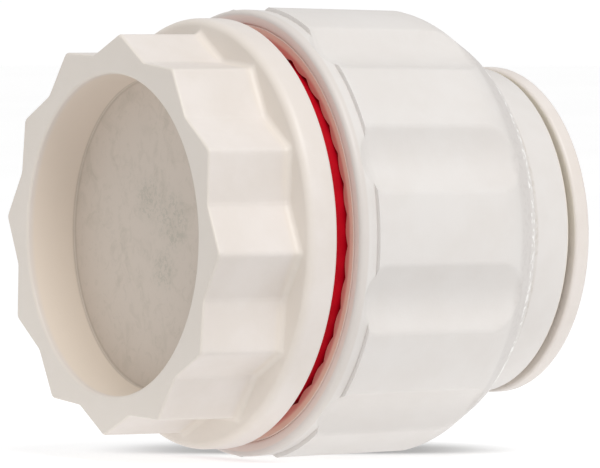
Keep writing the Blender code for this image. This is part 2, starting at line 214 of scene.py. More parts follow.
def turned(
    corners: Sequence[Corner], columns: int, closed: bool, shape: Shape | None = None,
    spacing: float = 2.0, fine: Sequence[Stretch] = (),
) -> bmesh.types.BMesh:
    """Spins a section round the axis, then moves its points by a rule.

    Args:
        corners: The section's corners in order.
        columns: How many steps make the full turn.
        closed: True for a ring's section, False for one that starts and ends on the axis.
        shape: Gives the new distance, radius and angle of a point from its old ones.
        spacing: The longest side that the section keeps.
        fine: Stretches with a shorter side.

    Returns:
        The finished bmesh, in metres, with its faces pointing out.
    """
    bm = bmesh.new()
    verts = [bm.verts.new((corner.along, -corner.radius, 0.0)) for corner in corners]
    for first, second in zip(verts, verts[1:] + verts[:1] if closed else verts[1:]):
        bm.edges.new((first, second))
    for corner, vert in zip(corners, verts):
        if corner.soft:
            bmesh.ops.bevel(
                bm, geom=[vert], offset=corner.soft, offset_type="OFFSET", segments=CORNER_STEPS,
                profile=0.5, affect="VERTICES", material=-1, clamp_overlap=False,
            )
    for edge in bm.edges[:]:
        middle = (edge.verts[0].co.x + edge.verts[1].co.x) / 2
        shorten(bm, edge, min([spacing] + [part.side for part in fine if part.holds(middle)]))
    for part in fine:
        for edge in bm.edges[:]:
            if all(part.holds(vert.co.x) for vert in edge.verts):
                shorten(bm, edge, part.side)
    bmesh.ops.spin(
        bm, geom=bm.verts[:] + bm.edges[:], cent=(0, 0, 0), axis=(1, 0, 0), dvec=(0, 0, 0),
        angle=math.tau, steps=columns, use_merge=True, use_duplicate=False,
    )
    bmesh.ops.remove_doubles(bm, verts=bm.verts[:], dist=WELD)
    for vert in bm.verts:
        along, radius = vert.co.x, math.hypot(vert.co.y, vert.co.z)
        angle = math.atan2(vert.co.z, -vert.co.y) % math.tau
        if shape and radius > NEAR:
            along, radius, angle = shape(along, radius, angle)
        vert.co = (
            (along + CLOSED_END) * MM,
            -radius * math.cos(angle) * MM,
            radius * math.sin(angle) * MM,
        )
    bmesh.ops.recalc_face_normals(bm, faces=bm.faces[:])
    return bm


def radial(bm: bmesh.types.BMesh, verts: Iterable[bmesh.types.BMVert], angle: float) -> None:
    """Turns points made on the -Y side to an angle round the axis."""
    turn = Matrix.Rotation(-angle, 3, "X")
    bmesh.ops.rotate(bm, cent=(0, 0, 0), matrix=turn, verts=list(verts))


def solid(name: str, bm: bmesh.types.BMesh) -> bpy.types.Object:
    """Makes the object of a finished bmesh, smooth with its sharp edges kept.

    Args:
        name: The object's name.
        bm: The bmesh, which is freed.

    Returns:
        The object, at the origin.
    """
    mesh = bpy.data.meshes.new(name)
    bm.to_mesh(mesh)
    bm.free()
    mesh.shade_smooth()
    mesh.set_sharp_from_angle(angle=SHARP_ANGLE)
    piece = bpy.data.objects.new(name, mesh)
    bpy.context.scene.collection.objects.link(piece)
    return piece


def cut_away(piece: bpy.types.Object, cutter: bpy.types.Object) -> None:
    """Takes one object's shape out of another, applies it, and removes the cutter."""
    modifier = piece.modifiers.new("cut", "BOOLEAN")
    modifier.operation = "DIFFERENCE"
    modifier.solver = "EXACT"
    modifier.object = cutter
    graph = bpy.context.evaluated_depsgraph_get()
    mesh = bpy.data.meshes.new_from_object(piece.evaluated_get(graph))
    old = piece.data
    piece.modifiers.clear()
    piece.data = mesh
    bpy.data.meshes.remove(old)
    bpy.data.objects.remove(cutter)
    mesh.shade_smooth()
    mesh.set_sharp_from_angle(angle=SHARP_ANGLE)


class Wire:
    """A value in a material, so that shader maths reads as an expression."""

    def __init__(self, paint: "Paint", socket: bpy.types.NodeSocket) -> None:
        """Wraps an output socket of one paint's nodes."""
        self.paint = paint
        self.socket = socket

    def maths(self, operation: str, first: "Wire | float", second: "Wire | float") -> "Wire":
        """Adds one Math node.

        Args:
            operation: The node's operation.
            first: Its first value.
            second: Its second value.

        Returns:
            The node's result.
        """
        return self.paint.node("ShaderNodeMath", {"operation": operation}, {0: first, 1: second})

    def __add__(self, other: "Wire | float") -> "Wire":
        """This value plus another."""
        return self.maths("ADD", self, other)

    __radd__ = __add__

    def __sub__(self, other: "Wire | float") -> "Wire":
        """This value less another."""
        return self.maths("SUBTRACT", self, other)

    def __rsub__(self, other: "Wire | float") -> "Wire":
        """Another value less this one."""
        return self.maths("SUBTRACT", other, self)

    def __mul__(self, other: "Wire | float") -> "Wire":
        """This value times another."""
        return self.maths("MULTIPLY", self, other)

    __rmul__ = __mul__

    def above(self, edge: float, width: float) -> "Wire":
        """A soft step that is 0 below an edge and 1 above it.

        Args:
            edge: Where the step starts.
            width: How wide it is.

        Returns:
            The step's value, between 0 and 1.
        """
        return self.paint.node(
            "ShaderNodeMapRange", {"interpolation_type": "SMOOTHSTEP"},
            {"Value": self, "From Min": edge, "From Max": edge + width},
        )

    def below(self, edge: float, width: float) -> "Wire":
        """A soft step that is 1 below an edge and 0 above it."""
        return 1 - self.above(edge, width)


Link = Wire | float | tuple


class Paint:
    """A material under construction, with one Principled shader."""

    def __init__(self, name: str) -> None:
        """Starts an empty material of this name."""
        self.material = bpy.data.materials.new(name)
        self.material.use_nodes = True
        self.tree = self.material.node_tree
        self.tree.nodes.clear()
        self.place = self.node("ShaderNodeTexCoord", {}, {}, "Object")

    def node(
        self, kind: str, settings: dict, values: dict[str | int, Link], output: str | int = 0
    ) -> Wire:
        """Adds one node.

        Args:
            kind: The node's type.
            settings: Its properties, set first.
            values: Values or links of its sockets, by name or number.
            output: The output that the result wraps.

        Returns:
            The chosen output.
        """
        made = self.tree.nodes.new(kind)
        for name, value in settings.items():
            setattr(made, name, value)
        for name, value in values.items():
            if isinstance(value, Wire):
                self.tree.links.new(value.socket, made.inputs[name])
            else:
                made.inputs[name].default_value = value
        return Wire(self, made.outputs[output])

    def noise(self, scale: float, detail: float = 2.0, **more: Link) -> Wire:
        """Noise on Object coordinates, from 0 to 1.

        Args:
            scale: Features per metre.
            detail: How many finer layers it has.
            more: Values of its other sockets, named in lower case.

        Returns:
            The noise.
        """
        values = {"Vector": self.place, "Scale": scale, "Detail": detail}
        values |= {name.capitalize(): value for name, value in more.items()}
        return self.node("ShaderNodeTexNoise", {}, values, "Fac")

    def cells(self, scale: float) -> Wire:
        """The distance to the nearest of some scattered points, in features per metre."""
        values = {"Vector": self.place, "Scale": scale}
        return self.node("ShaderNodeTexVoronoi", {"feature": "F1"}, values, "Distance")

    def blend(self, share: Wire, low: Link, high: Link) -> Wire:
        """A colour between two, by a share from 0 to 1."""
        settings = {"data_type": "RGBA"}
        return self.node("ShaderNodeMix", settings, {"Factor": share, 6: low, 7: high}, 2)

    def axis(self, name: str) -> Wire:
        """One Object coordinate in millimetres, which for X is the distance from the closed end."""
        split = self.node("ShaderNodeSeparateXYZ", {}, {0: self.place}, name)
        return split * (1 / MM) - (CLOSED_END if name == "X" else 0.0)

    def reach(self) -> Wire:
        """Distance from the fitting's axis, in millimetres."""
        values = {0: self.place, 1: (0.0, 1 / MM, 1 / MM)}
        flat = self.node("ShaderNodeVectorMath", {"operation": "MULTIPLY"}, values)
        return self.node("ShaderNodeVectorMath", {"operation": "LENGTH"}, {0: flat}, "Value")

    def vector(self, operation: str, point: tuple[float, float, float]) -> Wire:
        """One number from Object coordinates and a fixed point or direction, in metres."""
        values = {0: self.place, 1: point}
        return self.node("ShaderNodeVectorMath", {"operation": operation}, values, "Value")

    def bump(self, height: Wire, distance: float) -> Wire:
        """A Bump node for a height from 0 to 1, its distance in millimetres."""
        values = {"Height": height, "Distance": distance * MM, "Strength": 1.0}
        return self.node("ShaderNodeBump", {}, values)

    def done(self, **sockets: Link) -> bpy.types.Material:
        """Adds the Principled shader and the output.

        Args:
            sockets: The shader's values or links, with _ for a space.

        Returns:
            The finished material.
        """
        values = {name.replace("_", " "): value for name, value in sockets.items()}
        shader = self.node("ShaderNodeBsdfPrincipled", {}, values, "BSDF")
        target = self.tree.nodes.new("ShaderNodeOutputMaterial")
        self.tree.links.new(shader.socket, target.inputs["Surface"])
        return self.material


Colour = tuple[float, float, float, float]
ACETAL_IOR = 1.48


def shade(red: float, green: float, blue: float) -> Colour:
    """A linear colour with full alpha."""
    return (red, green, blue, 1.0)


@dataclass(frozen=True)
class Band:
    """A tinted stretch of a turned piece, with soft edges.

    Args:
        colour: The tint.
        along: Where it starts and ends, from the closed end.
        radii: Its least and greatest distance from the axis.
        soft: How wide its edges are.
        strength: How much of the tint shows.
        spots: How much more the tint shows in scattered spots.
        spot_scale: How many of those spots there are to a metre.
    """

    colour: Colour
    along: tuple[float, float]
    radii: tuple[float, float]
    soft: float = 0.3
    strength: float = 1.0
    spots: float = 0.0
    spot_scale: float = 1500.0

    def share(self, paint: Paint) -> Wire:
        """The share of the tint at each place.

        Args:
            paint: The material under construction.

        Returns:
            A share from 0 to 1.
        """
        along, reach, soft = paint.axis("X"), paint.reach(), self.soft
        inside = along.above(self.along[0], soft) * along.below(self.along[1] - soft, soft)
        inside = inside * reach.above(self.radii[0], soft) * reach.below(self.radii[1] - soft, soft)
        if self.spots:
            spots = paint.noise(self.spot_scale, 2.0).above(0.5, 0.12)
            return inside * (self.strength + self.spots * spots)
        return inside * self.strength


@dataclass(frozen=True)
class CupTint:
    """The tones of the cup: a stained floor, a wall with painted shade, darker at the top, and a painted
    shade line where they meet.

    Args:
        depth: How far the floor is from the closed end.
        radius: How far the wall is from the axis, at the floor.
        tone: The floor's own tone.
        stain: The tone of its stains.
        wall_shade_top: The wall's painted shade, darker and warm, at its highest place.
        wall_light_low: The wall's painted light, lighter and warm, at its lowest place.
        corner_shade_line: The tone of the painted shade line where the floor meets the wall.
        corner_shade_strength: How much of that painted shade line shows.
        speck: The tone of the floor's specks.
        speck_places: Each patch of specks, as its place on Y and Z and its width.
        speck_ground: How much a patch shows between its specks.
        speck_strength: How much more its specks show.
        stain_scale: Stains per metre.
        smear_scale: Finer smears per metre.
        speck_scale: Specks per metre.
        roughness: How much rougher the floor is.
    """

    depth: float
    radius: float
    tone: Colour = shade(0.63, 0.555, 0.485)
    stain: Colour = shade(0.545, 0.485, 0.415)
    wall_shade_top: Colour = shade(0.75, 0.66, 0.575)
    wall_light_low: Colour = shade(0.79, 0.70, 0.60)
    corner_shade_line: Colour = shade(0.50, 0.43, 0.36)
    corner_shade_strength: float = 0.75
    speck: Colour = shade(0.44, 0.415, 0.35)
    speck_places: tuple[tuple[float, float, float], ...] = (
        (1.9, 4.0, 3.6), (-3.4, 1.6, 4.5), (-1.4, -4.2, 3.2),
    )
    speck_ground: float = 0.12
    speck_strength: float = 0.42
    stain_scale: float = 240.0
    smear_scale: float = 520.0
    speck_scale: float = 1900.0
    roughness: float = 0.18

    def specked(self, paint: Paint, colour: Wire, floor: Wire) -> Wire:
        """Adds the patches of specks to the floor's colour."""
        specks = paint.noise(self.speck_scale, 3.0, roughness=0.7).above(0.5, 0.08)
        for side, height, wide in self.speck_places:
            place = ((self.depth + CLOSED_END) * MM, side * MM, height * MM)
            patch = paint.vector("DISTANCE", place).below(wide * 0.4 * MM, wide * 0.6 * MM) * floor
            share = patch * (self.speck_ground + self.speck_strength * specks)
            colour = paint.blend(share, colour, self.speck)
        return colour

    def tint(self, paint: Paint, colour: Wire) -> tuple[Wire, Wire]:
        """Tints a colour in the cup.

        Args:
            paint: The material under construction.
            colour: Its colour so far.

        Returns:
            The new colour, and the share of the cup's floor at each place.
        """
        along, reach = paint.axis("X"), paint.reach()
        floor = reach.below(self.radius, 0.05) * along.above(self.depth - 0.2, 0.05)
        floor = floor * along.below(self.depth + 0.5, 0.1)
        wall = reach.below(self.radius + 0.6, 0.3) * along.above(0.3, 0.8)
        wall = wall * along.below(self.depth - 0.15, 0.05)
        # Painted shade on the wall: darker towards the top, lighter low down, both warm.
        top = paint.axis("Z").above(-self.radius, 2 * self.radius)
        colour = paint.blend(wall, colour, paint.blend(top, self.wall_light_low, self.wall_shade_top))
        stain = paint.noise(self.stain_scale, 5.0, roughness=0.65, distortion=0.6).above(0.5, 0.16)
        smear = paint.noise(self.smear_scale, 4.0, roughness=0.7, distortion=1.2).above(0.52, 0.1)
        colour = paint.blend(
            floor, colour, paint.blend(stain * 0.5 + smear * 0.4, self.tone, self.stain)
        )
        # Painted shade: a dark line in the corner where the floor meets the wall.
        corner_shade = reach.above(self.radius - 0.35, 0.25) * along.above(self.depth - 0.45, 0.3)
        corner_shade = corner_shade * floor.maths("MAXIMUM", wall, floor) * self.corner_shade_strength
        colour = paint.blend(corner_shade, colour, self.corner_shade_line)
        return self.specked(paint, colour, floor), floor


@dataclass(frozen=True)
class MouldedWhite:
    """Satin white acetal, faintly clouded, with moulding grain, a little dust and bands of painted light
    and shade.

    Args:
        name: The material's name.
        pale: The lighter tone.
        warm: The darker, warmer tone.
        roughness: The surface's mean roughness.
        cloud_scale: Clouds of the two tones per metre.
        grime: The tone of the flecks of dust.
        grime_strength: How much of that tone shows.
        grain_scale: Grains of the surface per metre.
        ripple_scale: Coarser ripples per metre.
        grain_depth: How deep the grain is.
        bands: Its stretches of painted light and shade, each over the ones before it.
        cup: The tones of a cup, where the piece has one.
    """

    name: str
    pale: Colour = shade(0.755, 0.70, 0.66)
    warm: Colour = shade(0.72, 0.66, 0.61)
    roughness: float = 0.42
    cloud_scale: float = 130.0
    grime: Colour = shade(0.66, 0.61, 0.56)
    grime_strength: float = 0.35
    grain_scale: float = 3800.0
    ripple_scale: float = 700.0
    grain_depth: float = 0.012
    bands: tuple[Band, ...] = ()
    cup: CupTint | None = None

    def material(self) -> bpy.types.Material:
        """Makes the material."""
        paint = Paint(self.name)
        cloud = paint.noise(self.cloud_scale, 4.0, roughness=0.6)
        colour = paint.blend(cloud.above(0.3, 0.4), self.warm, self.pale)
        fleck = paint.cells(900.0).below(0.035, 0.03) * paint.noise(260.0).above(0.56, 0.05)
        colour = paint.blend(fleck * self.grime_strength, colour, self.grime)
        rough = self.roughness + 0.10 * (paint.noise(420.0, 3.0) - 0.5)
        for band in self.bands:
            colour = paint.blend(band.share(paint), colour, band.colour)
        if self.cup:
            colour, floor = self.cup.tint(paint, colour)
            rough = rough + floor * self.cup.roughness
        grain = paint.noise(self.grain_scale, 3.0) * 0.6 + paint.noise(self.ripple_scale, 2.0) * 0.4
        return paint.done(
            Base_Color=colour, Roughness=rough, Normal=paint.bump(grain, self.grain_depth),
            IOR=ACETAL_IOR, Specular_IOR_Level=0.5,
        )


@dataclass(frozen=True)
class IndicatorRed:
    """Bright red moulded plastic with a soft gloss."""

    name: str = "indicator_red"
    bright: Colour = shade(0.53, 0.001, 0.012)
    deep: Colour = shade(0.46, 0.001, 0.010)
    roughness: float = 0.34
    grain_scale: float = 3000.0
    grain_depth: float = 0.008
    shine: float = 0.15

    def material(self) -> bpy.types.Material:
        """Makes the material."""
        paint = Paint(self.name)
        colour = paint.blend(paint.noise(300.0, 3.0).above(0.35, 0.3), self.deep, self.bright)
        rough = self.roughness + 0.1 * paint.noise(900.0)
        grain = paint.noise(self.grain_scale, 2.0)
        return paint.done(
            Base_Color=colour, Roughness=rough, Normal=paint.bump(grain, self.grain_depth),
            Specular_IOR_Level=self.shine,
        )


@dataclass(frozen=True)
class SealRubber:
    """Black rubber, dull and faintly dusty."""

    name: str = "seal_rubber"
    black: Colour = shade(0.012, 0.012, 0.013)
    bloom: Colour = shade(0.035, 0.034, 0.033)
    roughness: float = 0.5
    grain_scale: float = 5000.0
    grain_depth: float = 0.01

    def material(self) -> bpy.types.Material:
        """Makes the material."""
        paint = Paint(self.name)
        colour = paint.blend(paint.noise(500.0, 4.0).above(0.45, 0.3), self.black, self.bloom)
        rough = self.roughness + 0.2 * paint.noise(1200.0)
        grain = paint.noise(self.grain_scale, 2.0)
        return paint.done(
            Base_Color=colour, Roughness=rough, Normal=paint.bump(grain, self.grain_depth)
        )


@dataclass(frozen=True)
class ToothSteel:
    """Stainless strip with the fine marks of rolling and grinding."""

    name: str = "tooth_steel"
    bright: Colour = shade(0.66, 0.65, 0.63)
    dull: Colour = shade(0.5, 0.49, 0.475)
    mark_scale: float = 2600.0
    roughness: float = 0.22
    grain_scale: float = 6000.0
    grain_depth: float = 0.004

    def material(self) -> bpy.types.Material:
        """Makes the material."""
        paint = Paint(self.name)
        marks = paint.noise(self.mark_scale, 4.0, distortion=0.4)
        colour = paint.blend(marks.above(0.4, 0.25), self.dull, self.bright)
        grain = paint.noise(self.grain_scale, 2.0)
        return paint.done(
            Base_Color=colour, Metallic=1.0, Roughness=self.roughness + 0.22 * marks,
            Normal=paint.bump(grain, self.grain_depth),
        )


@dataclass
class Fitted:
    """What every piece has: the body that it rides on, the nodes it stands for, and its material slot."""

    place: Place
    slot: str
    finish: bpy.types.Material

    def fit(self, piece: bpy.types.Object, *nodes: str) -> bpy.types.Object:
        """Dresses a piece and ties it to the frame.

        Args:
            piece: The new object.
            nodes: The frame's nodes that it stands for.

        Returns:
            The same object.
        """
        piece.data.materials.clear()
        piece.data.materials.append(self.finish)
        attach(piece, self.place.value)
        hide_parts(*nodes)
        LOG.info("%s: %d faces", piece.name, len(piece.data.polygons))
        return piece


@dataclass
class EndBody(Fitted):
    """The closed body: cup, pointed grip, flange, threaded barrel and pipe socket."""

    columns: int = 432
    points: int = 12
    grip_turn: float = math.radians(-4.4)
    grip_length: float = 11.1
    peak_radius: float = 23.25
    valley_radius: float = 21.1
    peak_round: float = 0.75
    valley_round: float = math.radians(0.7)
    valley_slope: float = 0.52
    even_share: float = 0.3
    drawn_share: float = 0.7
    rim_radius: float = 18.65
    floor_radius: float = 18.25
    cup_depth: float = 6.35
    fillet: float = 0.85
    flange_radius: float = 25.05
    flange_back: float = 14.95
    flange_round: float = 1.15
    barrel_radius: float = 20.0
    barrel_end: float = 31.35
    seal_floor: float = 25.65
    pocket_radius: float = 18.0
    pipe_bore: float = 14.75
    pipe_stop: float = 20.0
    waterway: float = 12.2
    socket_floor: float = 9.55
    thread: Thread = field(default_factory=lambda: Thread(place=21.0))

    def grip_reach(self, share: float) -> float:
        """The radius of the grip's outline.

        Args:
            share: Angle from the nearest point of the grip.

        Returns:
            The radius there, on the rounded point, the flat side or the valley.
        """
        half = math.pi / self.points
        tip = Vector((self.peak_radius - self.peak_round, 0.0))
        valley = Vector((math.cos(half), math.sin(half))) * self.valley_radius
        to_tip = tip - valley
        lean = math.asin(self.peak_round / to_tip.length)
        side = Matrix.Rotation(lean, 2) @ to_tip.normalized()
        touch = valley + side * (to_tip.length * math.cos(lean))
        if share < math.atan2(touch.y, touch.x):
            return tip.x * math.cos(share) + math.sqrt(
                self.peak_round ** 2 - (tip.x * math.sin(share)) ** 2
            )
        ray = Vector((math.cos(share), math.sin(share)))
        reach = valley.cross(side) / ray.cross(side)
        near = clamp((self.valley_round - (half - share)) / self.valley_round)
        slope = self.valley_radius * self.valley_slope
        return reach + 0.5 * slope * self.valley_round * near ** 2

    def gathered(self, angle: float) -> float:
        """Moves a column's angle towards the nearest point or valley, where the outline turns."""
        half = math.pi / self.points
        step = (angle - self.grip_turn) / half
        whole = math.floor(step + 1e-6)
        share = step - whole
        drawn = share * share * (3 - 2 * share)
        eased = self.even_share * share + self.drawn_share * drawn
        return self.grip_turn + (whole + eased) * half

    def shape(self, along: float, radius: float, angle: float) -> tuple[float, float, float]:
        """Gives a point of the turned body its place on the grip or the thread."""
        angle = self.gathered(angle + self.grip_turn)
        if along < self.grip_length + NEAR and radius > self.rim_radius + 0.3:
            reach = self.grip_reach(off_centre(angle, self.points, self.grip_turn))
            inner, face = self.rim_radius + 0.4, self.flange_radius - self.flange_round
            old = (inner, self.peak_radius, self.peak_radius + self.fillet, face)
            new = (inner, reach, reach + self.fillet, face)
            for low in range(3):
                if radius <= old[low + 1] or low == 2:
                    share = (radius - old[low]) / max(old[low + 1] - old[low], 1e-6)
                    if radius < face:
                        radius = new[low] + share * (new[low + 1] - new[low])
                    break
        elif abs(radius - self.barrel_radius) < NEAR:
            radius += self.thread.rise(along, angle)
        return along, radius, angle

    def build(self) -> None:
        """Makes the body and fits it."""
        end, back = self.barrel_end, self.flange_back
        corners = [
            Corner(self.cup_depth, 0.0),
            Corner(self.cup_depth, self.floor_radius, 0.2),
            Corner(0.0, self.rim_radius, 0.4),
            Corner(0.0, self.peak_radius, 0.35),
            Corner(self.grip_length, self.peak_radius, self.fillet),
            Corner(self.grip_length, self.flange_radius, self.flange_round),
            Corner(back, self.flange_radius, 0.45),
            Corner(back, self.barrel_radius, 0.0),
            Corner(end, self.barrel_radius, 0.5),
            Corner(end, self.pocket_radius, 0.2),
            Corner(self.seal_floor, self.pocket_radius, 0.2),
            Corner(self.seal_floor, self.pipe_bore, 0.2),
            Corner(self.pipe_stop, self.pipe_bore, 0.0),
            Corner(self.pipe_stop, self.waterway, 0.2),
            Corner(self.socket_floor, self.waterway, 0.4),
            Corner(self.socket_floor, 0.0),
        ]
        threaded = Stretch(self.thread.place - 1.5, self.thread.place + 9.5, 0.3)
        bm = turned(corners, self.columns, False, self.shape, 2.5, (threaded,))
        self.fit(solid("closed_body", bm), "end_body")


@dataclass
class TwistCap(Fitted):
    """The fluted cap: serrated mouth, band, lobes, domed shoulder, neck and locking cone."""

    columns: int = 480
    serrations: int = 40
    lobes: int = 10
    lobe_turn: float = math.radians(1.9)
    flute_half: float = math.radians(8.8)
    mouth: float = 17.5
    mouth_radius: float = 22.75
    serration_depth: float = 0.4
    serration_end: float = 18.6
    mouth_floor: float = 22.15
    groove_radius: float = 24.4
    groove: float = 0.11
    band_radius: float = 26.05
    step_groove: float = 0.07
    band_end: float = 19.75
    lobe_radius: float = 26.5
    draft: float = 0.0207
    flute_depth: float = 1.6
    flute_front: float = 20.9
    flute_run: float = 2.35
    flute_rise: float = 1.1
    barrel_end: float = 38.6
    shoulder_end: float = 43.9
    shoulder_radius: float = 22.85
    neck_root: float = 45.35
    neck_radius: float = 20.15
    nose_end: float = 51.15
    nose_radius: float = 19.15
    nose_bore: float = 15.9
    thread_bore: float = 21.5
    inner_shoulder: float = 34.2
    cone_radius: float = 17.0
    cone_end: float = 41.9
    beads: int = 120
    bead_depth: float = 0.2
    bead_width: float = 0.24
    bead_sway: float = 1.7
    bead_sways: int = 9
    flute_blend: float = 0.07
    fine: tuple[Stretch, ...] = (
        Stretch(18.2, 21.0, 0.16), Stretch(37.6, 42.8, 0.2),
        Stretch(44.4, 46.4, 0.13), Stretch(22.2, 32.2, 0.4),
    )
    thread: Thread = field(default_factory=lambda: Thread(place=23.25, sign=-1))

    def crest(self, along: float) -> float:
        """The radius of a lobe's crest at a distance from the closed end."""
        return self.lobe_radius - self.draft * (along - self.band_end)

    def flute(self, along: float, share: float) -> float:
        """The radius of the hollow that makes a flute.

        Args:
            along: Distance from the closed end.
            share: Angle from the flute's middle.

        Returns:
            The hollow's radius, over the crest where there is no flute.
        """
        across = (share / self.flute_half) ** 2
        ahead = max(0.0, (self.flute_front - along) / self.flute_run)
        return self.crest(along) - self.flute_depth * (1 - across) + self.flute_rise * ahead ** 2

    def shape(self, along: float, radius: float, angle: float) -> tuple[float, float, float]:
        """Gives a point of the turned cap its place in a flute, serration, thread or bead."""
        angle += self.lobe_turn
        if radius > self.mouth_radius + self.serration_depth + 0.3:
            middle = self.lobe_turn + math.pi / self.lobes
            hollow = self.flute(along, off_centre(angle, self.lobes, middle))
            radius = smooth_least(radius, hollow, self.flute_blend)
        elif along < self.serration_end - 0.05 and abs(radius - self.mouth_radius) < NEAR:
            share = ((angle - self.lobe_turn) * self.serrations / math.tau + 0.5) % 1
            radius += self.serration_depth * (1 - math.sin(math.pi * share))
        elif abs(radius - self.thread_bore) < NEAR:
            radius += self.thread.rise(along, angle)
        elif abs(along - self.neck_root) < 0.8 and radius > self.neck_radius - 0.5:
            sway = self.bead_sway * math.sin(self.bead_sways * angle)
            bead = 0.5 + 0.5 * math.cos(self.beads * angle + sway)
            ridge = math.exp(-(((along - self.neck_root) / self.bead_width) ** 2))
            radius += self.bead_depth * (bead - 0.5) * ridge
        return along, radius, angle

    def build(self) -> None:
        """Makes the cap and fits it."""
        mouth, groove = self.mouth, self.groove_radius
        deep = self.mouth_radius + self.serration_depth
        corners = [
            Corner(mouth, self.mouth_radius),
            Corner(mouth, groove - self.groove),
            Corner(mouth + self.groove, groove),
            Corner(mouth, groove + self.groove),
            Corner(mouth, self.band_radius, 0.7),
            Corner(self.band_end - 0.14, self.band_radius),
            Corner(self.band_end - 0.03, self.band_radius - self.step_groove),
            Corner(self.band_end + 0.04, self.crest(self.band_end), 0.04),
            Corner(self.barrel_end, self.crest(self.barrel_end), 1.6),
            Corner(self.shoulder_end, self.shoulder_radius, 1.1),
            Corner(self.neck_root, self.neck_radius, 0.7),
            Corner(self.nose_end, self.nose_radius, 0.4),
            Corner(self.nose_end, self.nose_bore, 0.3),
            Corner(self.cone_end, self.nose_bore),
            Corner(self.inner_shoulder, self.cone_radius),
            Corner(self.inner_shoulder, self.thread_bore),
            Corner(self.mouth_floor, self.thread_bore),
            Corner(self.mouth_floor, deep, 0.1),
            Corner(self.serration_end, deep, 0.0),
            Corner(self.serration_end - 0.06, self.mouth_radius),
        ]
        bm = turned(corners, self.columns, True, self.shape, 1.5, self.fine)
        self.fit(solid("fluted_cap", bm), "twist_cap")


